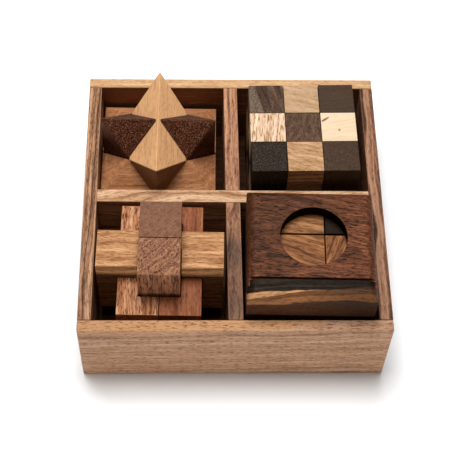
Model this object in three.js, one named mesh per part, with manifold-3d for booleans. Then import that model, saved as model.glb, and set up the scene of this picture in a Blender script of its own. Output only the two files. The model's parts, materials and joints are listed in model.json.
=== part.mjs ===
// Four wooden puzzles in a low square tray: a six-piece burr, a six-piece star,
// a snake cube strung on elastic, and a packing box with a sliding lid.
// Millimetres, +Z up, +X right, +Y back. The origin is the middle of the tray's underside.
import * as THREE from 'three';
import { mergeVertices } from 'three/addons/utils/BufferGeometryUtils.js';
import Module from 'manifold-3d';

const wasm = await Module();
wasm.setup();

// Clearance between pieces that touch.
const FIT = 0.3;

// Tray
const TRAY = { width: 150, depth: 150.6 };
const TRAY_HEIGHT = 46.5;
const SIDE_WALL = 6.6;
const END_WALL = 6;
const FLOOR = 3.5;
// Both dividers sit a little askew, as glued
const DIVIDER = 7.2;
const LONG_DIVIDER = { x: 0, y: 0.65, yaw: -0.3 };
const CROSS_DIVIDER = { x: -0.2, y: 0, yaw: 0.3 };

// Six-piece burr: square sticks two units wide and six long
const BURR_UNIT = 10.25;
const BURR_PLACE = { x: -36, y: -35.2, yaw: -1.2 };
const BURR_HALF = 3;

// Six-piece star: diamond bars, each tip two units from the middle
const STAR_UNIT = 14.8;
const STAR_PLACE = { x: -37.9, y: 36.3, yaw: -0.9 };
// How far the top bar's tips reach past two units, at the front and at the back
const TOP_REACH = [2.4, 1.2];

// Snake cube: 27 drilled cubes on one elastic cord
const CUBE_PITCH = 18.15;
const SNAKE_PLACE = { x: 36, y: 35.3, yaw: 0.8 };
const SNAKE_START = [1, -1, -1];
const BORE_RADIUS = 2.5;
const ELASTIC_RADIUS = 1;
const ROUND_SIDES = 10;
// Steps from each cube to the next: Up, Down, Left, Right, Back, Front
const SNAKE_STEPS = 'UULDBBLFFUBRRDDLFLBBRRUULL';
// The last three cubes lie in one row, which the stretched cord lets rise
const FIRST_CUBE_OF_ROW = 25;

// Packing box with eight blocks
const BOX = { width: 61.5, depth: 60.2, height: 60 };
const BOX_PLACE = { x: 36.2, y: -37.1, yaw: -1.2 };
const BOX_ROUND = 4.8;
const ROUND_STEPS = 6;
const CAVITY = 44;
const BOX_FRONT = 10;
const LID_THICK = 6.2;
const LID_GAP = 1.1;
const LID_TONGUE = { reach: 3, thick: 2.2, rise: 2 };
const LID_KEY = { foot: 2.4, head: 3.4, tall: 2.4 };
const LID_HOLE = { x: 1.2, y: 3.9, radius: 16.2, sides: 48 };
const BLOCK_UNIT = 14.35;
const BLOCK_HEADROOM = 0.8;
// The blocks lie loosely, apart from each other by this much across and behind
const BLOCK_LOOSE = [0.2, 0.6];

const WOOD = {
  honey: '#c08a56',
  tan: '#a9713f',
  olive: '#7d5a37',
  brown: '#84563a',
  plum: '#6d4038',
  grey: '#5b4740',
  dark: '#3f2e26',
  cream: '#e2bd86',
};
const RUBBER = '#d9d4c8';

// The object, and a function that names a mesh and adds it to a group
const object = new THREE.Group();

function finish(colour, roughness = 0.55) {
  return new THREE.MeshStandardMaterial({ color: colour, roughness, metalness: 0 });
}

function addPiece(group, name, geometry, colour) {
  const mesh = new THREE.Mesh(geometry, finish(colour));
  mesh.name = name;
  group.add(mesh);
  return mesh;
}

// A group that stands on the tray's floor, turned a little as it was put down
function standingGroup(place, halfHeight) {
  const group = new THREE.Group();
  group.position.set(place.x, place.y, FLOOR + FIT + halfHeight);
  group.rotation.z = THREE.MathUtils.degToRad(place.yaw);
  object.add(group);
  return group;
}

// A box between two opposite corners
function boxBetween(low, high) {
  const size = high.map((value, axis) => value - low[axis]);
  const middle = high.map((value, axis) => (value + low[axis]) / 2);
  return new THREE.BoxGeometry(...size).translate(...middle);
}

// Three.js geometry to a manifold solid and back
function solid(geometry) {
  const bare = geometry.clone();
  bare.deleteAttribute('normal');
  bare.deleteAttribute('uv');
  const merged = mergeVertices(bare, 1e-4);
  return new wasm.Manifold(new wasm.Mesh({
    numProp: 3,
    vertProperties: Float32Array.from(merged.attributes.position.array),
    triVerts: Uint32Array.from(merged.index.array),
  }));
}

function geometryOf(made) {
  const mesh = made.getMesh();
  const geometry = new THREE.BufferGeometry();
  geometry.setAttribute('position', new THREE.BufferAttribute(mesh.vertProperties, 3));
  geometry.setIndex(new THREE.BufferAttribute(mesh.triVerts, 1));
  geometry.computeVertexNormals();
  return geometry;
}

function cut(geometry, ...tools) {
  return geometryOf(tools.reduce((made, tool) => made.subtract(solid(tool)), solid(geometry)));
}

function common(geometry, ...others) {
  return geometryOf(others.reduce((made, other) => made.intersect(solid(other)), solid(geometry)));
}

function join(geometries) {
  const [first, ...others] = geometries;
  return geometryOf(others.reduce((made, other) => made.add(solid(other)), solid(first)));
}

// An outline drawn in Y and Z, extruded along X and centred on the origin
function prismAlongX(outline, length) {
  const prism = new THREE.ExtrudeGeometry(new THREE.Shape(outline), {
    depth: length,
    bevelEnabled: false,
  });
  prism.translate(0, 0, -length / 2);
  // The shape's own X, Y and Z become the object's Y, Z and X.
  return prism.applyMatrix4(new THREE.Matrix4().makeBasis(
    new THREE.Vector3(0, 1, 0),
    new THREE.Vector3(0, 0, 1),
    new THREE.Vector3(1, 0, 0),
  ));
}

// Turns a geometry so that its X, Y and Z become Y, Z and X, as many times as asked
function cycleAxes(geometry, times) {
  const turn = new THREE.Matrix4().makeBasis(
    new THREE.Vector3(0, 1, 0),
    new THREE.Vector3(0, 0, 1),
    new THREE.Vector3(1, 0, 0),
  );
  const turned = geometry.clone();
  for (let i = 0; i < times; i += 1) {
    turned.applyMatrix4(turn);
  }
  return turned;
}

// ---- Tray: four walls, a floor let in between them, and two halved dividers ----

// A divider as long as the tray, turned about its middle
function askewBoard(place, alongX, thick, low, high) {
  const reach = TRAY.width;
  const half = alongX ? [reach, thick / 2] : [thick / 2, reach];
  const board = boxBetween([-half[0], -half[1], low], [half[0], half[1], high]);
  board.rotateZ(THREE.MathUtils.degToRad(place.yaw));
  return board.translate(place.x, place.y, 0);
}

function buildTray() {
  const halfX = TRAY.width / 2;
  const halfY = TRAY.depth / 2;
  const inX = halfX - SIDE_WALL;
  const inY = halfY - END_WALL;
  const halving = (FLOOR + TRAY_HEIGHT) / 2;
  const board = (name, low, high, colour) => {
    addPiece(object, name, boxBetween(low, high), colour);
  };
  board('tray_front_wall', [-halfX, -halfY, 0], [halfX, -inY, TRAY_HEIGHT], WOOD.tan);
  board('tray_back_wall', [-halfX, inY, 0], [halfX, halfY, TRAY_HEIGHT], WOOD.honey);
  board('tray_left_wall', [-halfX, -inY, 0], [-inX, inY, TRAY_HEIGHT], WOOD.brown);
  board('tray_right_wall', [inX, -inY, 0], [halfX, inY, TRAY_HEIGHT], WOOD.brown);
  board('tray_floor', [-inX, -inY, 0], [inX, inY, FLOOR], WOOD.olive);

  const inside = boxBetween([-inX, -inY, FLOOR], [inX, inY, TRAY_HEIGHT]);
  const longBoard = askewBoard(LONG_DIVIDER, true, DIVIDER, FLOOR, TRAY_HEIGHT);
  const crossBoard = askewBoard(CROSS_DIVIDER, false, DIVIDER, FLOOR, TRAY_HEIGHT);
  // Each is sawn half through, a hair wider than the other board is thick.
  const sawn = DIVIDER + 0.1;
  const lowerHalf = askewBoard(CROSS_DIVIDER, false, sawn, 0, halving);
  const upperHalf = askewBoard(LONG_DIVIDER, true, sawn, halving, TRAY_HEIGHT + 1);
  addPiece(object, 'tray_long_divider', cut(common(longBoard, inside), lowerHalf), WOOD.honey);
  addPiece(object, 'tray_cross_divider', cut(common(crossBoard, inside), upperHalf), WOOD.brown);
}

// ---- Six-piece burr ----
// Each stick is a box in burr units, with notches that are boxes too.

const BURR_STICKS = [
  {
    name: 'burr_key_stick',
    colour: WOOD.plum,
    body: [[-1, -2, -3], [1, 0, 3]],
    notches: [],
  },
  {
    name: 'burr_rear_upright',
    colour: WOOD.plum,
    body: [[-1, 0, -3], [1, 2, 3]],
    notches: [
      [[-1, 0, -2], [1, 1, -1]],
      [[-1, 0, -1], [0, 2, 0]],
      [[0, 0, -1], [1, 1, 1]],
      [[-1, 0, 1], [1, 1, 2]],
    ],
  },
  {
    name: 'burr_lower_crossbar',
    colour: WOOD.tan,
    body: [[-3, -1, -2], [3, 1, 0]],
    notches: [
      [[-2, -1, -1], [2, 1, 0]],
      [[-1, -1, -2], [1, 0, -1]],
    ],
  },
  {
    name: 'burr_upper_crossbar',
    colour: WOOD.honey,
    body: [[-3, -1, 0], [3, 1, 2]],
    notches: [
      [[-1, -1, 0], [2, 1, 1]],
      [[-1, -1, 1], [1, 0, 2]],
    ],
  },
  {
    name: 'burr_left_stick',
    colour: WOOD.honey,
    body: [[-2, -3, -1], [0, 3, 1]],
    notches: [
      [[-2, -1, 0], [-1, 1, 1]],
      [[-1, -2, -1], [0, 0, 1]],
      [[-1, 0, 0], [0, 2, 1]],
    ],
  },
  {
    name: 'burr_right_stick',
    colour: WOOD.tan,
    body: [[0, -3, -1], [2, 3, 1]],
    notches: [
      [[0, -2, -1], [1, 0, 1]],
      [[0, 1, -1], [1, 2, 1]],
    ],
  },
];

// A box in burr units, each side moved out by half a clearance, or in where it is negative.
// The sticks' ends touch nothing, so they keep their full length.
function burrBox([low, high], clearance) {
  const moved = (value, way) => {
    const isEnd = Math.abs(value) === BURR_HALF;
    return value * BURR_UNIT + (isEnd ? 0 : way * clearance / 2);
  };
  return boxBetween(
    low.map((value) => moved(value, -1)),
    high.map((value) => moved(value, 1)),
  );
}

function buildBurr() {
  const group = standingGroup(BURR_PLACE, BURR_HALF * BURR_UNIT);
  for (const stick of BURR_STICKS) {
    const notches = stick.notches.map((notch) => burrBox(notch, FIT));
    addPiece(group, stick.name, cut(burrBox(stick.body, -FIT), ...notches), stick.colour);
  }
}

// ---- Six-piece star ----
// Each bar has a diamond section, chisel ends, and two V notches for the bars it crosses.

function diamond(middleY, middleZ, halfDiagonal) {
  return [
    new THREE.Vector2(middleY - halfDiagonal, middleZ),
    new THREE.Vector2(middleY, middleZ - halfDiagonal),
    new THREE.Vector2(middleY + halfDiagonal, middleZ),
    new THREE.Vector2(middleY, middleZ + halfDiagonal),
  ];
}

// A wedge drawn in Z and X that narrows towards +X or -X. It leans out by its reach, so
// that only the top of the tip goes past two units.
function chisel(way, reach, height) {
  const unit = STAR_UNIT;
  const lean = reach / (2 * unit);
  const shoulder = way * (unit - lean * unit);
  const outline = [
    new THREE.Vector2(-unit, -way * 3 * unit),
    new THREE.Vector2(unit, -way * 3 * unit),
    new THREE.Vector2(unit, shoulder),
    new THREE.Vector2(0, way * 2 * unit),
    new THREE.Vector2(-unit, shoulder),
  ];
  const wedge = cycleAxes(prismAlongX(way > 0 ? outline : outline.reverse(), height), 1);
  return wedge.applyMatrix4(new THREE.Matrix4().makeShear(0, 0, way * lean, 0, 0, 0));
}

// The bar that runs along X, on the side of the star towards +Y or -Y
function starBar(side, reach) {
  const inset = FIT / Math.SQRT2;
  const unit = STAR_UNIT;
  const length = 5 * unit;
  const bar = prismAlongX(diamond(side * unit, 0, unit - inset), length);
  // The bars that cross it run along Z, and their diamonds lie in X and Y.
  const notchAt = (x) => (
    cycleAxes(prismAlongX(diamond(x, 0, unit + inset), length), 2)
  );
  const whole = common(bar, chisel(-1, reach[0], length), chisel(1, reach[1], length));
  return cut(whole, notchAt(-unit), notchAt(unit));
}

function buildStar() {
  const group = standingGroup(STAR_PLACE, 2 * STAR_UNIT);
  const bars = [
    ['star_back_bar', 1, 0, WOOD.brown],
    ['star_front_bar', -1, 0, WOOD.brown],
    ['star_top_bar', 1, 1, WOOD.honey],
    ['star_bottom_bar', -1, 1, WOOD.honey],
    ['star_right_bar', 1, 2, WOOD.grey],
    ['star_left_bar', -1, 2, WOOD.grey],
  ];
  for (const [name, side, turns, colour] of bars) {
    const reach = name === 'star_top_bar' ? TOP_REACH : [0, 0];
    addPiece(group, name, cycleAxes(starBar(side, reach), turns), colour);
  }
}

// ---- Snake cube ----

const STEP_WAYS = {
  U: new THREE.Vector3(0, 0, 1),
  D: new THREE.Vector3(0, 0, -1),
  L: new THREE.Vector3(-1, 0, 0),
  R: new THREE.Vector3(1, 0, 0),
  B: new THREE.Vector3(0, 1, 0),
  F: new THREE.Vector3(0, -1, 0),
};

// The cubes' centres in order along the cord
function snakeCentres() {
  const cell = new THREE.Vector3(...SNAKE_START);
  const cells = [cell.clone()];
  for (const letter of SNAKE_STEPS) {
    cell.add(STEP_WAYS[letter]);
    cells.push(cell.clone());
  }
  return cells.map((found) => found.multiplyScalar(CUBE_PITCH));
}

// A round rod between two points
function rod(from, to, radius) {
  const way = to.clone().sub(from);
  const geometry = new THREE.CylinderGeometry(radius, radius, way.length(), ROUND_SIDES);
  const upright = new THREE.Vector3(0, 1, 0);
  geometry.applyQuaternion(new THREE.Quaternion().setFromUnitVectors(
    upright,
    way.clone().normalize(),
  ));
  return geometry.translate(...from.clone().add(to).divideScalar(2).toArray());
}

// A cube drilled from its centre out through each face that the cord passes
function snakeCube(centre, neighbours) {
  const half = (CUBE_PITCH - FIT) / 2;
  const cube = boxBetween([-half, -half, -half], [half, half, half]);
  cube.translate(...centre.toArray());
  const bores = neighbours.map((neighbour) => {
    const way = neighbour.clone().sub(centre).normalize();
    const start = centre.clone().addScaledVector(way, -BORE_RADIUS);
    return rod(start, centre.clone().addScaledVector(way, CUBE_PITCH), BORE_RADIUS);
  });
  return cut(cube, ...bores);
}

// The cord through a run of cube centres, square at each turn
function cordThrough(points) {
  const rods = [];
  for (let i = 1; i < points.length; i += 1) {
    const way = points[i].clone().sub(points[i - 1]).normalize();
    const reach = ELASTIC_RADIUS * 0.9;
    rods.push(rod(
      points[i - 1].clone().addScaledVector(way, -reach),
      points[i].clone().addScaledVector(way, reach),
      ELASTIC_RADIUS,
    ));
  }
  return join(rods);
}

// The points where the cord starts, turns and ends
function turnsOnly(points) {
  return points.filter((point, i) => {
    if (i === 0 || i === points.length - 1) {
      return true;
    }
    const before = point.clone().sub(points[i - 1]);
    const after = points[i + 1].clone().sub(point);
    return before.dot(after) === 0 || before.angleTo(after) > 0.1;
  });
}

function buildSnake() {
  const group = standingGroup(SNAKE_PLACE, 1.5 * CUBE_PITCH);
  const centres = snakeCentres();
  centres.forEach((centre, i) => {
    const neighbours = [centres[i - 1], centres[i + 1]].filter(Boolean);
    // The first cube is a corner cube, and colours alternate from there.
    const colour = i % 2 === 0 ? WOOD.dark : WOOD.cream;
    const number = String(i + 1).padStart(2, '0');
    addPiece(group, `snake_cube_${number}`, snakeCube(centre, neighbours), colour);
  });
  // The cord runs whole up to the cube under the last row, then one link that stretches.
  const lastFixed = centres[FIRST_CUBE_OF_ROW - 2];
  const firstMoving = centres[FIRST_CUBE_OF_ROW - 1];
  const stop = ELASTIC_RADIUS * 0.9;
  const up = STEP_WAYS.U;
  const fixedRun = centres.slice(0, FIRST_CUBE_OF_ROW - 2);
  fixedRun.push(lastFixed.clone().addScaledVector(up, -stop - FIT));
  addPiece(group, 'snake_elastic', cordThrough(turnsOnly(fixedRun)), RUBBER);
  const link = rod(lastFixed, firstMoving.clone().addScaledVector(up, -stop - FIT), ELASTIC_RADIUS);
  addPiece(group, 'snake_elastic_link', link, RUBBER);
  const row = turnsOnly(centres.slice(FIRST_CUBE_OF_ROW - 1));
  addPiece(group, 'snake_elastic_end', cordThrough(row), RUBBER);
}

// ---- Packing box ----

// An outline of the given width and height from z = 0, with both top corners rounded
function roundedOutline(width, height, radius) {
  const half = width / 2;
  const points = [new THREE.Vector2(-half, 0), new THREE.Vector2(half, 0)];
  for (const side of [1, -1]) {
    for (let i = 0; i <= ROUND_STEPS; i += 1) {
      const share = side > 0 ? i / ROUND_STEPS : 1 - i / ROUND_STEPS;
      const angle = share * Math.PI / 2;
      points.push(new THREE.Vector2(
        side * (half - radius + radius * Math.cos(angle)),
        height - radius + radius * Math.sin(angle),
      ));
    }
  }
  return points;
}

// The whole box's outer shape, standing on z = 0
function boxEnvelope() {
  const alongX = prismAlongX(roundedOutline(BOX.depth, BOX.height, BOX_ROUND), BOX.width);
  const alongY = prismAlongX(roundedOutline(BOX.width, BOX.height, BOX_ROUND), BOX.depth);
  alongY.rotateZ(Math.PI / 2);
  return common(alongX, alongY);
}

// A bar along X whose section is wider at the top than at the foot
function dovetail(y, z, foot, head, tall, length) {
  return prismAlongX([
    new THREE.Vector2(y - foot / 2, z),
    new THREE.Vector2(y + foot / 2, z),
    new THREE.Vector2(y + head / 2, z + tall),
    new THREE.Vector2(y - head / 2, z + tall),
  ], length);
}

function buildPackingBox() {
  const group = standingGroup(BOX_PLACE, 0);
  const halfX = BOX.width / 2;
  const halfY = BOX.depth / 2;
  const past = 1;
  const envelope = boxEnvelope();
  const lidUnder = BOX.height - LID_THICK;
  const frontInner = -halfY + BOX_FRONT;
  const cavityBack = frontInner + CAVITY;
  const cavityFloor = lidUnder - BLOCK_HEADROOM - 3 * BLOCK_UNIT;
  const backWallMiddle = (cavityBack + halfY) / 2;

  // Carcass: floor, back and two sides in one block, with a key along the back wall's top
  const carcassBlock = common(envelope, boxBetween(
    [-halfX, frontInner + FIT, 0],
    [halfX, halfY, lidUnder - FIT],
  ));
  const cavity = boxBetween(
    [-CAVITY / 2, frontInner - past, cavityFloor],
    [CAVITY / 2, cavityBack, BOX.height],
  );
  const keyAt = (grow) => dovetail(
    backWallMiddle,
    lidUnder - FIT - (grow ? past : FIT),
    LID_KEY.foot + 2 * grow,
    LID_KEY.head + 2 * grow,
    LID_KEY.tall + grow + (grow ? past : FIT),
    BOX.width + 2 * past,
  );
  const rib = common(keyAt(0), envelope);
  const carcass = join([cut(carcassBlock, cavity), rib]);
  addPiece(group, 'packing_box_carcass', carcass, WOOD.brown);

  // Front board, with a groove for the lid's tongue
  const tongueAt = (grow) => boxBetween(
    [-halfX - past, frontInner - LID_TONGUE.reach - grow, lidUnder + LID_TONGUE.rise - grow],
    [halfX + past, frontInner + LID_GAP + past, lidUnder + LID_TONGUE.rise + LID_TONGUE.thick + grow],
  );
  const frontBoard = common(envelope, boxBetween(
    [-halfX, -halfY, 0],
    [halfX, frontInner, BOX.height],
  ));
  addPiece(group, 'packing_box_front', cut(frontBoard, tongueAt(FIT)), WOOD.dark);

  // Lid: slides off to the right, held down by its tongue and by the key behind
  const slab = boxBetween(
    [-halfX, frontInner + LID_GAP, lidUnder],
    [halfX, halfY, BOX.height],
  );
  const hole = new THREE.CylinderGeometry(
    LID_HOLE.radius,
    LID_HOLE.radius,
    BOX.height,
    LID_HOLE.sides,
  );
  hole.rotateX(Math.PI / 2);
  hole.translate(LID_HOLE.x, LID_HOLE.y, BOX.height);
  const lid = cut(common(join([slab, tongueAt(0)]), envelope), keyAt(FIT), hole);
  addPiece(group, 'packing_box_lid', lid, WOOD.plum);

  buildBlocks(group, frontInner, cavityFloor);
}

// Eight blocks that fill the cavity: low and high corners in block units
const BLOCKS = [
  ['block_large_cube', [0, 0, 0], [2, 2, 2], WOOD.tan],
  ['block_top_slab', [0, 0, 2], [2, 2, 3], WOOD.honey],
  ['block_back_slab', [0, 2, 0], [2, 3, 2], WOOD.tan],
  ['block_back_stick', [0, 2, 2], [2, 3, 3], WOOD.honey],
  ['block_right_slab', [2, 0, 0], [3, 2, 2], WOOD.brown],
  ['block_right_stick', [2, 0, 2], [3, 2, 3], WOOD.honey],
  ['block_corner_stick', [2, 2, 0], [3, 3, 2], WOOD.tan],
  ['block_small_cube', [2, 2, 2], [3, 3, 3], WOOD.grey],
];

function buildBlocks(group, frontInner, cavityFloor) {
  const slack = (CAVITY - 3 * BLOCK_UNIT) / 2;
  const corner = [-CAVITY / 2 + slack, frontInner + slack, cavityFloor + FIT / 2];
  for (const [name, low, high, colour] of BLOCKS) {
    const loose = [0, 1].map((axis) => (low[axis] === 2 ? 1 : -1) * BLOCK_LOOSE[axis] / 2);
    const place = (value, axis, way) => (
      corner[axis] + value * BLOCK_UNIT + way * FIT / 2 + (loose[axis] || 0)
    );
    const block = boxBetween(
      low.map((value, axis) => place(value, axis, 1)),
      high.map((value, axis) => place(value, axis, -1)),
    );
    addPiece(group, name, block, colour);
  }
}

buildTray();
buildBurr();
buildStar();
buildSnake();
buildPackingBox();

export default object;
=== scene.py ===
import json
import math

import bmesh
import bpy
from mathutils import Matrix, Vector


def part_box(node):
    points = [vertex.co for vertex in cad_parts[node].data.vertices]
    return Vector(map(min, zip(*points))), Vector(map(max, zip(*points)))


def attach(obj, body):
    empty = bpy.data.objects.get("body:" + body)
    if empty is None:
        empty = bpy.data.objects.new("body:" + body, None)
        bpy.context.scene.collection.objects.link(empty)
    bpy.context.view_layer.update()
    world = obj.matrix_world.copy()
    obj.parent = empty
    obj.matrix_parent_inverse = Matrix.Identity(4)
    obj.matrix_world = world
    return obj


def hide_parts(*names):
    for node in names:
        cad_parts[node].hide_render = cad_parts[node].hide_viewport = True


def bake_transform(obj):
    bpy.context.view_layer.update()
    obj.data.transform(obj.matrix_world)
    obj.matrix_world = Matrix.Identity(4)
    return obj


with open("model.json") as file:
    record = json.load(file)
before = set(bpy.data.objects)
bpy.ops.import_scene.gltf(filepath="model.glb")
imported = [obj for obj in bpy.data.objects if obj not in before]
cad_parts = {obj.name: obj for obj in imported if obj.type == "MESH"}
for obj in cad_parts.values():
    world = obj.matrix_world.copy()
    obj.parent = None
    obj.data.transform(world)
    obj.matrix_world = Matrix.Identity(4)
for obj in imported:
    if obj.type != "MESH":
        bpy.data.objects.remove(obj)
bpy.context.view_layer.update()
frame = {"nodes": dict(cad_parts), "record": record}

# ======================================================================================
# Studio: a pale seamless table under a large softbox, seen from the front and well above.
# The softbox hangs behind and to the left, so tops are bright and fronts fall into shade. A
# small white card, low in front, lights the outer front wall and hardly reaches inside.
# ======================================================================================
MM = 0.001
look_at = Vector((-1.0, -3.0, 20.0)) * MM
turn = math.radians(3.38)
height = math.radians(58.2)
roll = math.radians(2.96)
distance = 648.6 * MM

ahead = Vector((
    math.sin(turn) * math.cos(height),
    math.cos(turn) * math.cos(height),
    -math.sin(height),
))
level = ahead.cross(Vector((0, 0, 1))).normalized()
upward = level.cross(ahead)
right = math.cos(roll) * level + math.sin(roll) * upward
up = math.cos(roll) * upward - math.sin(roll) * level
spot = look_at - ahead * distance

camera_data = bpy.data.cameras.new("studio_camera")
camera_data.sensor_width = 36
camera_data.lens = 97.8
camera_data.clip_start = 10 * MM
camera = bpy.data.objects.new("studio_camera", camera_data)
camera.matrix_world = Matrix((
    (right.x, up.x, -ahead.x, spot.x),
    (right.y, up.y, -ahead.y, spot.y),
    (right.z, up.z, -ahead.z, spot.z),
    (0, 0, 0, 1),
))
bpy.context.scene.collection.objects.link(camera)
bpy.context.scene.camera = camera
bpy.context.scene.view_settings.view_transform = "Standard"


def softbox(name, place, size, watts):
    """A square area light that faces the middle of the tray."""
    data = bpy.data.lights.new(name, "AREA")
    data.shape = "SQUARE"
    data.size = size
    data.energy = watts
    lamp = bpy.data.objects.new(name, data)
    lamp.location = place
    facing = (look_at - Vector(place)).to_track_quat("-Z", "Y")
    lamp.rotation_mode = "QUATERNION"
    lamp.rotation_quaternion = facing
    bpy.context.scene.collection.objects.link(lamp)


softbox("overhead_softbox", place=(-0.08, 0.24, 1.2), size=0.7, watts=23.0)
softbox("white_card_in_front", place=(0.0, -0.6, 0.03), size=0.06, watts=1.38)

world = bpy.data.worlds.new("studio_air")
world.use_nodes = True
world.node_tree.nodes["Background"].inputs["Color"].default_value = (1, 1, 1, 1)
world.node_tree.nodes["Background"].inputs["Strength"].default_value = 0.09
bpy.context.scene.world = world


def linear(hex_colour):
    """An sRGB hex colour as linear RGBA."""
    values = [int(hex_colour[i:i + 2], 16) / 255 for i in (1, 3, 5)]
    return tuple(
        v / 12.92 if v <= 0.04045 else ((v + 0.055) / 1.055) ** 2.4 for v in values
    ) + (1,)


def add_node(tree, kind, settings, inputs):
    """Adds a node, sets its settings, and sets or links its inputs."""
    node = tree.nodes.new(kind)
    for name, value in settings.items():
        setattr(node, name, value)
    for name, value in inputs.items():
        socket = node.inputs[name]
        if isinstance(value, bpy.types.NodeSocket):
            tree.links.new(value, socket)
        else:
            socket.default_value = value
    return node


def new_material(name):
    """An empty node material with only its output."""
    made = bpy.data.materials.new(name)
    made.use_nodes = True
    made.node_tree.nodes.clear()
    return made


# Matt white laminate, pressed and slightly uneven, so that shadows fall softly on it.
laminate = new_material("white_laminate_matt")
tree = laminate.node_tree
table_place = add_node(tree, "ShaderNodeNewGeometry", {}, {})
unevenness = add_node(tree, "ShaderNodeTexNoise", {}, {
    "Vector": table_place.outputs["Position"],
    "Scale": 6.0,
})
tone = add_node(tree, "ShaderNodeMapRange", {}, {
    "Value": unevenness.outputs[0],
    "To Min": 0.9,
    "To Max": 0.93,
})
shader = add_node(tree, "ShaderNodeBsdfPrincipled", {}, {
    "Base Color": tone.outputs[0],
    "Roughness": 0.6,
    "Specular IOR Level": 0.3,
})
add_node(tree, "ShaderNodeOutputMaterial", {}, {"Surface": shader.outputs[0]})

# The top lies a hair under the tray, so that the two surfaces don't fight.
table_half = 2500 * MM
table_drop = 0.05 * MM
table_mesh = bpy.data.meshes.new("studio_table")
table_mesh.from_pydata(
    [(-table_half, -table_half, 0), (table_half, -table_half, 0),
     (table_half, table_half, 0), (-table_half, table_half, 0)],
    [],
    [(0, 1, 2, 3)],
)
table_mesh.materials.append(laminate)
studio_table = bpy.data.objects.new("studio_table", table_mesh)
studio_table.location.z = -table_drop
bpy.context.scene.collection.objects.link(studio_table)

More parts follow.
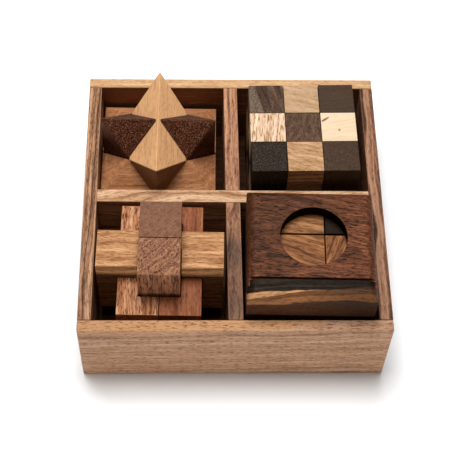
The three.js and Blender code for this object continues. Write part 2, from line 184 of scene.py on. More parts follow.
# ======================================================================================
# Tray: four planed boards butted and glued, a thin floor panel let in between them, and
# two dividers halved into each other. Raintree wood, sanded and wiped with a thin oil.
# ======================================================================================
def wood(name, light, mid, dark, pore, rings=0.5, ring_mm=2.2, streaks=0.5, streak_mm=0.9,
         pores=0.6, pore_mm=0.38, pore_length=8, wander_mm=4.0, gloss=0.5, end_grain=0.3,
         shine=0.25, rub=0.55, bands=(), marks=()):
    """Sanded timber: wandering growth rings, streaks along the grain, and open pores.

    The rings circle the X axis of the piece's own grain coordinates, in millimetres, so a
    board shows lines on its faces, and rings and dots on its ends, as sawn timber does.
    Rings, streaks, pores, end_grain and rub are strengths; gloss is the roughness and shine
    the specular level. Each band is a start, a lean and a colour, each mark a place, a
    radius and a strength.
    """
    made = new_material(name)
    tree = made.node_tree
    grain = add_node(tree, "ShaderNodeAttribute", {"attribute_name": "grain"}, {})
    place = grain.outputs["Vector"]

    # Slow wander of the rings: one sway in about 55 mm along the grain, 22 mm across it.
    slow = add_node(tree, "ShaderNodeVectorMath", {"operation": "MULTIPLY"}, {
        0: place,
        1: (0.018, 0.045, 0.045),
    })
    sway = add_node(tree, "ShaderNodeTexNoise", {}, {
        "Vector": slow.outputs[0],
        "Scale": 1.0,
        "Detail": 2.0,
    })
    centred = add_node(tree, "ShaderNodeVectorMath", {"operation": "SUBTRACT"}, {
        0: sway.outputs[1],
        1: (0.5, 0.5, 0.5),
    })
    swayed = add_node(tree, "ShaderNodeVectorMath", {"operation": "MULTIPLY_ADD"}, {
        0: centred.outputs[0],
        1: (0, wander_mm * 2, wander_mm * 2),
        2: place,
    })
    across = add_node(tree, "ShaderNodeVectorMath", {"operation": "MULTIPLY"}, {
        0: swayed.outputs[0],
        1: (0, 1, 1),
    })
    radius = add_node(tree, "ShaderNodeVectorMath", {"operation": "LENGTH"}, {
        0: across.outputs[0],
    })

    # Growth rings: uneven bands in the distance from the pith.
    in_rings = add_node(tree, "ShaderNodeMath", {"operation": "DIVIDE"}, {
        0: radius.outputs["Value"],
        1: ring_mm,
    })
    ring = add_node(tree, "ShaderNodeTexNoise", {"noise_dimensions": "1D"}, {
        "W": in_rings.outputs[0],
        "Scale": 1.0,
        "Detail": 3.0,
        "Roughness": 0.6,
    })

    # Streaks of colour along the grain, each about eleven times as long as it is wide.
    thin = 0.5 / streak_mm
    stretched = add_node(tree, "ShaderNodeVectorMath", {"operation": "MULTIPLY"}, {
        0: swayed.outputs[0],
        1: (thin / 11, thin, thin),
    })
    streak = add_node(tree, "ShaderNodeTexNoise", {}, {
        "Vector": stretched.outputs[0],
        "Scale": 1.0,
        "Detail": 5.0,
        "Roughness": 0.62,
    })

    # Open vessels: dashes on long grain, dots on end grain, drawn coarser than they are so they show.
    narrow = 1 / pore_mm
    vessel_place = add_node(tree, "ShaderNodeVectorMath", {"operation": "MULTIPLY"}, {
        0: place,
        1: (narrow / pore_length, narrow, narrow),
    })
    vessel = add_node(tree, "ShaderNodeTexNoise", {}, {
        "Vector": vessel_place.outputs[0],
        "Scale": 1.0,
        "Detail": 1.0,
    })
    ring_part = add_node(tree, "ShaderNodeMapRange", {"clamp": False}, {
        "Value": ring.outputs[0],
        "From Min": 0.3,
        "From Max": 0.7,
        "To Min": 0.5 - rings / 2,
        "To Max": 0.5 + rings / 2,
    })
    streak_part = add_node(tree, "ShaderNodeMapRange", {"clamp": False}, {
        "Value": streak.outputs[0],
        "From Min": 0.3,
        "From Max": 0.7,
        "To Min": -streaks / 2,
        "To Max": streaks / 2,
    })
    figure = add_node(tree, "ShaderNodeMath", {"operation": "ADD", "use_clamp": True}, {
        0: ring_part.outputs[0],
        1: streak_part.outputs[0],
    })
    # Vessels crowd together in the darker early wood.
    crowded = add_node(tree, "ShaderNodeMath", {"operation": "MULTIPLY_ADD"}, {
        0: figure.outputs[0],
        1: -0.1,
        2: vessel.outputs[0],
    })
    open_pore = add_node(tree, "ShaderNodeMapRange", {}, {
        "Value": crowded.outputs[0],
        "From Min": 0.5,
        "From Max": 0.57,
    })
    shades = add_node(tree, "ShaderNodeValToRGB", {}, {"Fac": figure.outputs[0]})
    stops = shades.color_ramp.elements
    stops[0].position = 0.05
    stops[0].color = linear(dark)
    stops[1].position = 0.95
    stops[1].color = linear(light)
    middle = stops.new(0.5)
    middle.color = linear(mid)
    colour = shades.outputs["Color"]

    # From each of these distances outwards the wood has another colour: sapwood on some pieces, and
    # painted shade on the inner face of the back wall.
    # Each may lean, by so many millimetres for every millimetre along the grain. The streaks
    # make its edge ragged by up to 3 mm, and about halfway through that the colour turns.
    ragged_mm = 3.0
    turn_from_mm = 1.4
    turn_to_mm = 1.8
    for start_mm, lean, band_colour in bands:
        leant = add_node(tree, "ShaderNodeVectorMath", {"operation": "DOT_PRODUCT"}, {
            0: place,
            1: (-lean, 0, 0),
        })
        smooth_edge = add_node(tree, "ShaderNodeMath", {"operation": "ADD"}, {
            0: leant.outputs["Value"],
            1: radius.outputs["Value"],
        })
        ragged_edge = add_node(tree, "ShaderNodeMath", {"operation": "MULTIPLY_ADD"}, {
            0: streak.outputs[0],
            1: ragged_mm,
            2: smooth_edge.outputs[0],
        })
        past_start = add_node(tree, "ShaderNodeMapRange", {}, {
            "Value": ragged_edge.outputs[0],
            "From Min": start_mm + turn_from_mm,
            "From Max": start_mm + turn_to_mm,
            "To Max": 0.85,
        })
        banded = add_node(tree, "ShaderNodeMix", {"data_type": "RGBA"}, {
            0: past_start.outputs[0],
            6: colour,
            7: linear(band_colour),
        })
        colour = banded.outputs[2]

    # End grain drinks more oil than long grain does, and dries darker. The honey bars use a high
    # strength, which also paints the shade under their chisel ends.
    cut_across = add_node(tree, "ShaderNodeAttribute", {"attribute_name": "end_grain"}, {})
    soaked = add_node(tree, "ShaderNodeMath", {"operation": "MULTIPLY"}, {
        0: cut_across.outputs["Fac"],
        1: end_grain,
    })
    oiled = add_node(tree, "ShaderNodeMix", {"data_type": "RGBA"}, {
        0: soaked.outputs[0],
        6: colour,
        7: linear(dark),
    })
    colour = oiled.outputs[2]

    pore_share = add_node(tree, "ShaderNodeMath", {"operation": "MULTIPLY"}, {
        0: open_pore.outputs[0],
        1: pores,
    })
    pored = add_node(tree, "ShaderNodeMix", {"data_type": "RGBA"}, {
        0: pore_share.outputs[0],
        6: colour,
        7: linear(pore),
    })
    colour = pored.outputs[2]

    # Knots, flecks and stains at their own places on the piece.
    for mark_place, mark_mm, mark_strength in marks:
        away = add_node(tree, "ShaderNodeVectorMath", {"operation": "DISTANCE"}, {
            0: place,
            1: mark_place,
        })
        inside = add_node(tree, "ShaderNodeMapRange", {}, {
            "Value": away.outputs["Value"],
            "From Min": mark_mm * 0.4,
            "From Max": mark_mm,
            "To Min": mark_strength,
            "To Max": 0.0,
        })
        marked = add_node(tree, "ShaderNodeMix", {"data_type": "RGBA"}, {
            0: inside.outputs[0],
            6: colour,
            7: linear(pore),
        })
        colour = marked.outputs[2]

    # Edges are rubbed: a little paler and smoother where hands have worn the arris.
    rubbed = add_node(tree, "ShaderNodeAttribute", {"attribute_name": "worn"}, {})
    patchy = add_node(tree, "ShaderNodeMath", {"operation": "MULTIPLY"}, {
        0: rubbed.outputs["Fac"],
        1: streak.outputs[0],
    })
    worn_share = add_node(tree, "ShaderNodeMath", {"operation": "MULTIPLY"}, {
        0: patchy.outputs[0],
        1: rub,
    })
    worn = add_node(tree, "ShaderNodeMix", {"data_type": "RGBA"}, {
        0: worn_share.outputs[0],
        6: colour,
        7: linear(light),
    })

    sheen = add_node(tree, "ShaderNodeMapRange", {}, {
        "Value": figure.outputs[0],
        "To Min": gloss + 0.1,
        "To Max": gloss,
    })
    matt = add_node(tree, "ShaderNodeMath", {"operation": "MULTIPLY_ADD"}, {
        0: pore_share.outputs[0],
        1: 0.25,
        2: sheen.outputs[0],
    })
    relief = add_node(tree, "ShaderNodeMath", {"operation": "MULTIPLY_ADD"}, {
        0: open_pore.outputs[0],
        1: -0.8,
        2: streak.outputs[0],
    })
    bump = add_node(tree, "ShaderNodeBump", {}, {
        "Strength": 0.35,
        "Distance": 0.12 * MM,
        "Height": relief.outputs[0],
    })
    shader = add_node(tree, "ShaderNodeBsdfPrincipled", {}, {
        "Base Color": worn.outputs[2],
        "Roughness": matt.outputs[0],
        "IOR": 1.5,
        "Specular IOR Level": shine,
        "Specular Tint": (1, 0.82, 0.66, 1),
        "Normal": bump.outputs[0],
    })
    add_node(tree, "ShaderNodeOutputMaterial", {}, {"Surface": shader.outputs[0]})
    return made


def rounded_copy(node, name, round_mm, steps, weld_mm):
    """A merged copy of a CAD node's mesh with its outer edges eased, as sanding leaves them."""
    flat_degrees = 0.5
    arris_degrees = 25
    shade_degrees = 40
    shape = bmesh.new()
    shape.from_mesh(frame["nodes"][node].data)
    bmesh.ops.remove_doubles(shape, verts=shape.verts, dist=weld_mm * MM)
    bmesh.ops.dissolve_limit(
        shape,
        angle_limit=math.radians(flat_degrees),
        verts=shape.verts,
        edges=shape.edges,
    )
    worn = shape.faces.layers.float.new("worn")
    arrises = [
        edge for edge in shape.edges
        if edge.is_manifold and edge.is_convex
        and edge.calc_face_angle() > math.radians(arris_degrees)
    ]
    eased = bmesh.ops.bevel(
        shape,
        geom=arrises,
        offset=round_mm * MM,
        offset_type="OFFSET",
        segments=steps,
        profile=0.5,
        affect="EDGES",
        clamp_overlap=True,
    )
    for face in eased["faces"]:
        face[worn] = 1
    mesh = bpy.data.meshes.new(name)
    shape.to_mesh(mesh)
    shape.free()
    mesh.shade_smooth()
    mesh.set_sharp_from_angle(angle=math.radians(shade_degrees))
    made = bpy.data.objects.new(name, mesh)
    bpy.context.scene.collection.objects.link(made)
    return made


def lay_grain(mesh, centre, along, pith, shift=0):
    """Gives each point its place in the log, in millimetres.

    X runs along the grain, and pith is the middle of the piece as seen from the heart of the
    log, across the grain and upwards. Faces sawn across the grain are noted as end grain.
    """
    forward = Vector(along).normalized()
    aside = Vector((0, 0, 1)) if abs(forward.z) < 0.7 else Vector((0, 1, 0))
    sideways = aside.cross(forward).normalized()
    upwards = forward.cross(sideways)
    grain = mesh.attributes.new("grain", "FLOAT_VECTOR", "POINT")
    for point, value in zip(mesh.vertices, grain.data):
        away = (point.co - centre) / MM
        value.vector = (
            away.dot(forward) + shift,
            away.dot(sideways) + pith[0],
            away.dot(upwards) + pith[1],
        )
    end_grain = mesh.attributes.new("end_grain", "FLOAT", "FACE")
    for face, value in zip(mesh.polygons, end_grain.data):
        value.value = min(1.0, 1.5 * abs(face.normal.dot(forward)))


def body_of(node):
    """The CAD body that a node belongs to."""
    bodies = frame["record"]["behaviour"]["bodies"]
    return next(body for body, nodes in bodies.items() if node in nodes)


def timber(node, material, along, pith, shift=0, round_mm=0.35, steps=2, weld_mm=0.002):
    """Puts the finished wooden piece in the place of a plain CAD node."""
    low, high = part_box(node)
    made = rounded_copy(node, node + "_timber", round_mm, steps, weld_mm)
    lay_grain(made.data, (low + high) / 2, along, pith, shift)
    made.data.materials.append(material)
    flat = made.modifiers.new("flat_faces", "WEIGHTED_NORMAL")
    flat.keep_sharp = True
    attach(made, body_of(node))
    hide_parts(node)
    return made


# The back wall: straight-grained and pale, with short dark pores. A dark band on its inner face is
# painted shade, so the inside reads dark under a light top edge.
pale_raintree = wood(
    "raintree_sapwood_sanded", "#d4b388", "#bc946b", "#9f7045", "#73471b",
    rings=0.3, streaks=0.5, pores=0.5, ring_mm=3.0, wander_mm=0.4,
    bands=((902.6, 0, "#683a22"),),
)
# The front wall: the same wood, greyer on its face, with many fine dark flecks, and a warmer
# band along its top.
front_raintree = wood(
    "raintree_flecked_sanded", "#b59273", "#a0795d", "#81593e", "#492812",
    rings=0.45, streaks=0.5, pores=0.7, ring_mm=4.2, bands=((114.6, 0, "#ae7d52"),),
)
# The left wall: heartwood, with dark lines along it that catch the eye.
striped_raintree = wood(
    "raintree_heartwood_striped", "#b28969", "#8c6245", "#452a1b", "#2e170c",
    rings=1.2, streaks=0.7, pores=0.6, ring_mm=2.2, wander_mm=3,
)
# The right wall is the same wood from nearer the heart, a shade deeper.
deep_raintree = wood(
    "raintree_heartwood_deep", "#996f55", "#784f38", "#3a2115", "#261108",
    rings=1.2, streaks=0.7, pores=0.6, ring_mm=2.2, wander_mm=3,
)
# The long divider: pale, with swirls where a branch grew.
swirled_raintree = wood(
    "raintree_sapwood_swirled", "#d1ad8b", "#b48b68", "#885e3e", "#5d3511",
    rings=0.95, streaks=0.5, pores=0.5, ring_mm=2.8, wander_mm=9,
)
# The cross divider: lighter at the back, with a bruise-coloured stain towards the front.
stained_raintree = wood(
    "raintree_heartwood_stained", "#b48465", "#98684b", "#553322", "#271713",
    rings=0.7, streaks=0.7, pores=0.55, ring_mm=3.5, wander_mm=7,
    marks=(((72, 16, -13), 48, 0.6), ((88, 17, -13), 12, 0.5), ((60, 15, -13), 9, 0.5)),
)
# The floor panel: dull brown and left unoiled, so it is matt; its colour is darkened further as
# painted shade, so it stays dark between the puzzles.
unoiled_panel_painted_shade = wood(
    "raintree_panel_unoiled_painted_shade", "#522e16", "#3d1d06", "#260e03", "#0c0402",
    rings=0.5, streaks=0.5, pores=0.4, gloss=0.65,
)
timber("tray_back_wall", pale_raintree, (1, 0, 0), (-900, 0), 0, 0.5)
timber("tray_front_wall", front_raintree, (1, 0, 0.03), (25, 90), 210, 0.8)
timber("tray_left_wall", striped_raintree, (0.015, 1, 0.02), (50, -30), 40, 0.5)
timber("tray_right_wall", deep_raintree, (-0.06, 1, 0.05), (-45, 38), 330, 0.5)
timber("tray_floor", unoiled_panel_painted_shade, (1, 0, 0), (20, 120), 90, 0.25)
timber("tray_long_divider", swirled_raintree, (1, 0.05, 0), (12, -28), 500, 0.4)
timber("tray_cross_divider", stained_raintree, (0.04, 1, 0.06), (16, -34), 120, 0.4)

# ======================================================================================
# Six-piece burr: square sticks sawn and notched from four kinds of raintree board, so each
# has its own colour. The two uprights show their end grain on top.
# ======================================================================================
# Golden, with soft orange waves along it: the two crossbars.
golden_stick = wood(
    "raintree_golden_sanded", "#c39365", "#a7774e", "#82502d", "#5e300a",
    rings=0.45, streaks=0.7, pores=0.6, ring_mm=2.4,
)
# Open-pored and lively, pale and brown by turns: the left stick.
coarse_stick = wood(
    "raintree_coarse_pored", "#c49672", "#a16943", "#6f3a18", "#431909",
    rings=0.4, streaks=0.8, pores=0.85, pore_mm=0.42,
)
# Calm and reddish, with thin lines: the right stick.
red_stick = wood(
    "raintree_reddish_sanded", "#915833", "#7c4224", "#57270c", "#381205",
    rings=0.4, streaks=0.6, pores=0.5,
)
# Close-grained and dull plum on its end: the rear upright.
plum_stick = wood(
    "rosewood_plum_sanded", "#835a42", "#6f4834", "#573422", "#341a0c",
    rings=0.3, streaks=0.5, pores=0.5, ring_mm=1.2, end_grain=0,
)
# The key's end grain, with pores that stand out as dark speckles.
speckled_stick = wood(
    "raintree_speckled_end_grain", "#a3724c", "#7e5139", "#4c2814", "#331207",
    rings=0.45, streaks=0.5, pores=0.85, ring_mm=1.4, pore_mm=0.6, end_grain=0,
)
timber("burr_key_stick", speckled_stick, (0.02, 0.02, 1), (50, -52), 0)
timber("burr_rear_upright", plum_stick, (0, 0.03, 1), (46, -60), 60)
timber("burr_upper_crossbar", golden_stick, (1, 0.02, 0.03), (24, -40), 15)
timber("burr_lower_crossbar", golden_stick, (1, 0, 0.02), (-30, 50), 160)
timber("burr_left_stick", coarse_stick, (0.02, 1, 0), (35, -35), 300)
timber("burr_right_stick", red_stick, (-0.03, 1, 0.02), (-35, 55), 420)

# ======================================================================================
# Six-piece star: diamond bars with chisel ends and V notches, two of each wood: honey on
# top, dark speckled to the sides, mid brown to the front and back.
# ======================================================================================
# Even and honey-coloured on its faces. Its chisel ends are darker, partly from end grain drinking the
# oil and partly as painted shade, since they face down away from the light.
honey_bar = wood(
    "raintree_honey_sanded", "#dea87b", "#cb9a6c", "#663920", "#8c592d",
    rings=0.12, streaks=0.25, pores=0.4, ring_mm=2.4, end_grain=0.75, rub=0.1,
)
# Nearly black-brown end grain, with filled pores that show as light speckles.
dark_bar = wood(
    "rosewood_dark_speckled", "#522715", "#3b180c", "#1f0c05", "#87563c",
    rings=0.5, streaks=0.7, pores=0.85, pore_mm=0.4, pore_length=1.2, end_grain=0.7,
    shine=0.12, rub=0,
)
# Mid brown and plain, which sets the honey and the dark bars off. Its colour is lightened as painted
# light, for front light that hardly reaches the bars in their hollow.
brown_bar = wood(
    "raintree_brown_sanded", "#c48e66", "#aa744f", "#834f28", "#5e2f12",
    rings=0.45, streaks=0.6, pores=0.5, ring_mm=4, end_grain=0.15,
)
# The hair-wide facets in the corners of their notches are welded, so the edges can round.
notch_weld = 0.5
timber("star_top_bar", honey_bar, (0.01, 1, 0.01), (40, 30), 0, 0.4, 2, notch_weld)
timber("star_bottom_bar", honey_bar, (0.02, 1, 0), (30, -30), 90, 0.3)
timber("star_left_bar", dark_bar, (0.05, 0.03, 1), (44, 30), 20, 0.8, 3, notch_weld)
timber("star_right_bar", dark_bar, (0.02, 0.06, 1), (-30, 44), 150, 0.8, 3, notch_weld)
timber("star_front_bar", brown_bar, (1, 0.05, 0.05), (20, 26), 30, 0.3)
timber("star_back_bar", brown_bar, (1, -0.05, 0.03), (26, -30), 210, 0.3)

# ======================================================================================
# Snake cube: 27 drilled cubes, dark and light by turns, on one elastic cord. Each cube is
# sawn from a different offcut, so no two of the same colour match.
# ======================================================================================
# Dark and rough-pored, with a wedge of greyer wood down one side.
grey_cube = wood(
    "smoked_rosewood_grey", "#69503c", "#442d20", "#25170f", "#120e09",
    rings=0.4, streaks=0.7, pores=0.9, pore_mm=0.45, pore_length=1.4, end_grain=0.1,
    bands=((52.4, 0, "#6a594a"),),
)
# Dark and almost without figure, sanded smooth.
plain_dark_cube = wood(
    "smoked_rosewood_plain", "#3c2b1f", "#322114", "#28170b", "#190d08",
    rings=0.2, streaks=0.35, pores=0.25, gloss=0.45,
)
# Brown, mottled by short dark dashes that cross the face.
mottled_cube = wood(
    "rosewood_mottled", "#684e3f", "#503828", "#341e10", "#201009",
    rings=0.3, streaks=0.9, pores=0.8, pore_length=3,
)
# Black end grain, with fine pale dust in its pores.
charcoal_cube = wood(
    "ebony_charcoal", "#1e140c", "#0e0805", "#060302", "#4f453a",
    rings=0.3, streaks=0.6, pores=0.8, pore_mm=0.45, pore_length=1.2, end_grain=0.1,
    shine=0.13, rub=0.2,
)
# Brown-black end grain, its pores a little lighter.
brown_cube = wood(
    "rosewood_brown_black", "#3e2819", "#27160a", "#130a05", "#553c2d",
    rings=0.45, streaks=0.8, pores=0.8, pore_mm=0.45, pore_length=1.2, end_grain=0.1, rub=0.2,
)
# Tan, with a quiet slanting figure.
tan_cube = wood(
    "raintree_tan_cube", "#bd9e7e", "#ab8b6a", "#947048", "#77542e",
    rings=0.5, streaks=0.45, pores=0.4, ring_mm=2.4,
)
# Cream, with coarse brown streaks: the liveliest of the light ones.
streaked_cube = wood(
    "raintree_cream_streaked", "#dec2a7", "#caab8d", "#9a7049", "#6c4218",
    rings=0.4, streaks=0.8, pores=0.8, streak_mm=0.8, pore_mm=0.6,
)
# The palest and smoothest, with one short bark streak and a pin knot.
pale_cube = wood(
    "boxwood_pale", "#dac6a9", "#d0b99a", "#c3a884", "#6e451b",
    rings=0.3, streaks=0.4, pores=0.06, ring_mm=4, gloss=0.42,
    marks=(
        ((27.5, 44.8, 58.9), 0.8, 0.9),
        ((28.3, 45.2, 58.9), 0.9, 0.95),
        ((29.1, 45.6, 58.9), 0.9, 0.95),
        ((29.9, 46.0, 58.9), 0.8, 0.9),
        ((30.7, 46.5, 58.9), 0.7, 0.8),
        ((34.9, 38.0, 58.9), 0.9, 0.8),
    ),
)
# Sawn across its rings, so its figure runs slanting over the top.
diagonal_cube = wood(
    "raintree_diagonal_figure", "#c09a76", "#a68059", "#81532d", "#603713",
    rings=0.8, streaks=0.5, pores=0.5, ring_mm=1.8,
)

cube_nodes = [f"snake_cube_{number:02d}" for number in range(1, 28)]
cube_middles = [sum(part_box(node), Vector()) / 2 for node in cube_nodes]
snake_middle = sum(cube_middles, Vector()) / len(cube_middles)
pitch = (cube_middles[1] - cube_middles[0]).length

cube_round = 0.4

# What shows on top, by column from the left and row from the front: wood and grain.
top_layer = {
    (-1, 1): (grey_cube, (-0.2, 1, 0.1), (44, 16)),
    (0, 1): (tan_cube, (1, -0.25, 0.05), (20, 30)),
    (1, 1): (plain_dark_cube, (1, 0.1, 0), (40, 10)),
    (-1, 0): (streaked_cube, (0.06, 1, 0), (30, 30)),
    (0, 0): (mottled_cube, (0.3, 1, 0.5), (34, 22)),
    (1, 0): (pale_cube, (1, 0.15, 0), (40, 50)),
    (-1, -1): (charcoal_cube, (0.2, 0.3, 1), (40, 20)),
    (0, -1): (diagonal_cube, (1, -0.35, 0.1), (12, 24)),
    (1, -1): (brown_cube, (0.3, 0.5, 1), (24, 38)),
}
dark_woods = [charcoal_cube, brown_cube, mottled_cube, plain_dark_cube]
light_woods = [diagonal_cube, tan_cube, streaked_cube]
quarter_turns = [(1, 0.1, 0.05), (0.05, 1, 0.1), (0.1, 0.05, 1)]

for number, (node, middle) in enumerate(zip(cube_nodes, cube_middles)):
    column, row, layer = (round(value) for value in (middle - snake_middle) / pitch)
    if layer == 1:
        material, along, pith = top_layer[(column, row)]
    else:
        # The first cube is dark, and the colours alternate along the cord.
        offcuts = light_woods if number % 2 else dark_woods
        material = offcuts[number // 2 % len(offcuts)]
        along = quarter_turns[number % len(quarter_turns)]
        pith = (30 + 3 * (number % 5), 44 - 4 * (number % 4))
    # The cubes on top come from one place in their log, the others each from its own.
    log_places = 1 if layer == 1 else number
    timber(node, material, along, pith, 35 * log_places, cube_round)

# The elastic: round, about 2 mm thick, rubber strands in a woven cotton cover. It runs
# through every bore, turning square inside the corner cubes, and is glued into the end ones.
# The cover is off-white, with a fine check where its threads cross.
CORD_RADIUS = 0.95 * MM
BEND_RADIUS = 1.1 * MM
CORD_SIDES = 12

cover = new_material("elastic_woven_cover")
tree = cover.node_tree
along_cord = add_node(tree, "ShaderNodeAttribute", {"attribute_name": "along_cord"}, {})
around_cord = add_node(tree, "ShaderNodeAttribute", {"attribute_name": "around_cord"}, {})
# Two sets of threads cross at 0.5 mm spacing, which gives the cover its fine checks.
thread_spacing = 0.5 * MM
lengthwise = add_node(tree, "ShaderNodeMath", {"operation": "MULTIPLY"}, {
    0: along_cord.outputs["Fac"],
    1: 2 * math.pi / thread_spacing,
})
roundwise = add_node(tree, "ShaderNodeMath", {"operation": "MULTIPLY"}, {
    0: around_cord.outputs["Fac"],
    1: 2 * math.pi * CORD_SIDES,
})
waves = []
for way in ("ADD", "SUBTRACT"):
    phase = add_node(tree, "ShaderNodeMath", {"operation": way}, {
        0: lengthwise.outputs[0],
        1: roundwise.outputs[0],
    })
    waves.append(add_node(tree, "ShaderNodeMath", {"operation": "SINE"}, {0: phase.outputs[0]}))
weave = add_node(tree, "ShaderNodeMath", {"operation": "MULTIPLY"}, {
    0: waves[0].outputs[0],
    1: waves[1].outputs[0],
})
thread_tone = add_node(tree, "ShaderNodeMapRange", {}, {
    "Value": weave.outputs[0],
    "From Min": -1.0,
})
thread_colour = add_node(tree, "ShaderNodeMix", {"data_type": "RGBA"}, {
    0: thread_tone.outputs[0],
    6: linear("#b9b3a4"),
    7: linear("#eae6da"),
})
thread_bump = add_node(tree, "ShaderNodeBump", {}, {
    "Strength": 0.5,
    "Distance": 0.1 * MM,
    "Height": weave.outputs[0],
})
shader = add_node(tree, "ShaderNodeBsdfPrincipled", {}, {
    "Base Color": thread_colour.outputs[2],
    "Roughness": 0.85,
    "Sheen Weight": 0.3,
    "Normal": thread_bump.outputs[0],
})
add_node(tree, "ShaderNodeOutputMaterial", {}, {"Surface": shader.outputs[0]})

# The tree that turns a route into a cord: rounded turns, even steps, a closed round tube.
cord_tree = bpy.data.node_groups.new("elastic_cord_along_route", "GeometryNodeTree")
face = cord_tree.interface
face.new_socket("Route", in_out="INPUT", socket_type="NodeSocketGeometry")
face.new_socket("Cord radius", in_out="INPUT", socket_type="NodeSocketFloat")
face.new_socket("Bend radius", in_out="INPUT", socket_type="NodeSocketFloat")
face.new_socket("Step", in_out="INPUT", socket_type="NodeSocketFloat")
face.new_socket("Sides", in_out="INPUT", socket_type="NodeSocketInt")
face.new_socket("Cover", in_out="INPUT", socket_type="NodeSocketMaterial")
face.new_socket("Cord", in_out="OUTPUT", socket_type="NodeSocketGeometry")
given = add_node(cord_tree, "NodeGroupInput", {}, {}).outputs
turned = add_node(cord_tree, "GeometryNodeFilletCurve", {"mode": "POLY"}, {
    "Curve": given["Route"],
    "Radius": given["Bend radius"],
    "Count": 5,
    "Limit Radius": True,
})
stepped = add_node(cord_tree, "GeometryNodeResampleCurve", {"mode": "LENGTH"}, {
    "Curve": turned.outputs[0],
    "Length": given["Step"],
})
route_place = add_node(cord_tree, "GeometryNodeSplineParameter", {}, {})
with_length = add_node(cord_tree, "GeometryNodeStoreNamedAttribute", {"data_type": "FLOAT"}, {
    "Geometry": stepped.outputs[0],
    "Name": "along_cord",
    "Value": route_place.outputs["Length"],
})
circle = add_node(cord_tree, "GeometryNodeCurvePrimitiveCircle", {}, {
    "Resolution": given["Sides"],
    "Radius": given["Cord radius"],
})
with_turn = add_node(cord_tree, "GeometryNodeStoreNamedAttribute", {"data_type": "FLOAT"}, {
    "Geometry": circle.outputs[0],
    "Name": "around_cord",
    "Value": route_place.outputs["Factor"],
})
tube = add_node(cord_tree, "GeometryNodeCurveToMesh", {}, {
    "Curve": with_length.outputs[0],
    "Profile Curve": with_turn.outputs[0],
    "Fill Caps": True,
})
covered = add_node(cord_tree, "GeometryNodeSetMaterial", {}, {
    "Geometry": add_node(cord_tree, "GeometryNodeRealizeInstances", {}, {
        "Geometry": tube.outputs[0],
    }).outputs[0],
    "Material": given["Cover"],
})
add_node(cord_tree, "NodeGroupOutput", {}, {"Cord": covered.outputs[0]})


def elastic(name, route):
    """A length of the cord through the points of a route, as a plain mesh at the origin."""
    line = bpy.data.curves.new(name + "_route", "CURVE")
    line.dimensions = "3D"
    spline = line.splines.new("POLY")
    spline.points.add(len(route) - 1)
    for point, place in zip(spline.points, route):
        point.co = (*place, 1)
    holder = bpy.data.objects.new(name + "_route", line)
    bpy.context.scene.collection.objects.link(holder)
    modifier = holder.modifiers.new("cord", "NODES")
    modifier.node_group = cord_tree
    wanted = {
        "Cord radius": CORD_RADIUS,
        "Bend radius": BEND_RADIUS,
        "Step": 0.8 * MM,
        "Sides": CORD_SIDES,
        "Cover": cover,
    }
    for item in cord_tree.interface.items_tree:
        if item.name in wanted:
            modifier[item.identifier] = wanted[item.name]
    graph = bpy.context.evaluated_depsgraph_get()
    mesh = bpy.data.meshes.new_from_object(holder.evaluated_get(graph), depsgraph=graph)
    mesh.name = name
    made = bpy.data.objects.new(name, mesh)
    bpy.context.scene.collection.objects.link(made)
    bpy.data.objects.remove(holder)
    mesh.shade_smooth()
    return made


# The last three cubes can be pulled off as a row; the link before them, which stretches on the real
# cord, is made here as one fixed length.
ROW_START = 24
row_foot = cube_middles[ROW_START - 1]
row_head = cube_middles[ROW_START]
overlap = Vector((0, 0, 0.6 * MM))

fixed_run = elastic("elastic_fixed_run", cube_middles[:ROW_START - 1] + [row_foot + overlap])
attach(fixed_run, "snake")
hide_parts("snake_elastic")

link = elastic("elastic_stretching_link", [row_foot, row_head - overlap])
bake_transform(link)
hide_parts("snake_elastic_link")

row_run = elastic("elastic_row_run", [row_head - overlap] + cube_middles[ROW_START:])
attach(row_run, "snake_row")
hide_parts("snake_elastic_end")

# ======================================================================================
# Packing box: a milled carcass with a glued front board, and a lid with a round window that
# slides off to the right. Rosewood, its outer edges rounded over and oiled.
# ======================================================================================
# The lid: red-brown, its figure broken by thin curved dark dashes, darker at the back left.
lid_rosewood = wood(
    "rosewood_lid_oiled", "#864e30", "#623621", "#3a1f13", "#120804",
    rings=0.5, streaks=0.75, pores=0.85, ring_mm=1.6, streak_mm=0.7, wander_mm=7,
    gloss=0.5, shine=0.14, rub=0.3, marks=(((-12, 36, -27), 62, 0.48),),
)
# The carcass: the same wood, plainer and darker, as its sides stand in shade.
carcass_rosewood = wood(
    "rosewood_carcass_oiled", "#5f361e", "#472410", "#221008", "#0f0804",
    rings=0.5, streaks=0.6, pores=0.55, gloss=0.5, shine=0.15,
)
# The front board: black heartwood on top, pale sapwood that tapers along the rounded edge,
# and brown wood below.
front_rosewood = wood(
    "rosewood_front_with_sapwood", "#2a1f17", "#19110c", "#0c0805", "#070403",
    rings=0.5, streaks=0.7, pores=0.5, gloss=0.5, end_grain=0.1, shine=0.1,
    bands=(
        (82.0, 0, "#c08c5e"), (87.0, -0.085, "#4e2c17"),
        (86.4, -0.02, "#94603a"), (87.4, 0, "#25110a"),
    ),
    marks=(((92, -78, -37), 45, 0.55),),
)
lid = timber("packing_box_lid", lid_rosewood, (1, -0.12, 0.04), (14, -30), 20, 0.4)
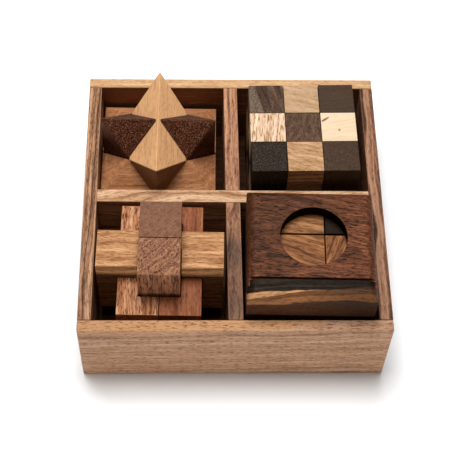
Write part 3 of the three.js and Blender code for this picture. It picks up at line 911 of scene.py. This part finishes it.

# The window was bored with a large bit. Its wall is coloured nearly black: dark rosewood under
# painted shade, for the inside of the bore where little light reaches.
bore_painted_shade_rosewood = wood(
    "rosewood_bore_painted_shade", "#1c0f08", "#100804", "#080402", "#060302",
    rings=0.3, streaks=0.6, pores=0.4, gloss=0.6, shine=0.04,
)
lid.data.materials.append(bore_painted_shade_rosewood)
lid_low, lid_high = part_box("packing_box_lid")
lid_middle = (lid_low + lid_high) / 2
window_reach = 24 * MM
# Upright faces that look into the window take the painted shade.
for face in lid.data.polygons:
    upright = abs(face.normal.z) < 0.3
    outwards = (face.center - lid_middle).to_2d()
    inward = face.normal.to_2d().dot(outwards) < 0
    if upright and inward and outwards.length < window_reach:
        face.material_index = 1
timber("packing_box_carcass", carcass_rosewood, (1, 0, 0.05), (30, -60), 80, 0.4)
timber("packing_box_front", front_rosewood, (1, 0.02, 0.0), (-73, -65), 55, 0.4)

# The eight blocks inside are plain cuboids, loose in the carcass, with their edges just eased. Most
# are a warm mid brown with a clear figure. All three block woods are darkened as painted shade, for
# the shadow the lid casts over them through the window.
block_wood = wood(
    "raintree_block_sanded", "#9a6436", "#774723", "#4d250c", "#2f1205",
    rings=0.55, streaks=0.7, pores=0.6, ring_mm=2.0,
)
# A more golden offcut, for two of the sticks.
light_block = wood(
    "raintree_block_golden", "#9c6c40", "#80522e", "#57300f", "#361807",
    rings=0.5, streaks=0.7, pores=0.6, ring_mm=2.0,
)
# Almost black, so the one small cube reads as a hole in the pattern.
dark_block = wood(
    "rosewood_block_dark", "#24140a", "#140a05", "#0a0503", "#2e1c10",
    rings=0.3, streaks=0.5, pores=0.6, pore_length=1.5, shine=0.1,
)
blocks = {
    "block_large_cube": (block_wood, (1, 0, 0.1), (30, 30)),
    "block_top_slab": (block_wood, (1, -0.3, 0), (20, 30)),
    "block_back_slab": (block_wood, (1, 0, 0), (40, 20)),
    "block_back_stick": (light_block, (1, -0.15, 0), (15, 40)),
    "block_right_slab": (block_wood, (0, 1, 0), (35, 25)),
    "block_right_stick": (block_wood, (0.4, 1, 0), (25, 35)),
    "block_corner_stick": (light_block, (0, 0, 1), (30, 45)),
    "block_small_cube": (dark_block, (0.2, 0.2, 1), (45, 25)),
}
for number, (node, (material, along, pith)) in enumerate(blocks.items()):
    timber(node, material, along, pith, 47 * number, 0.4)
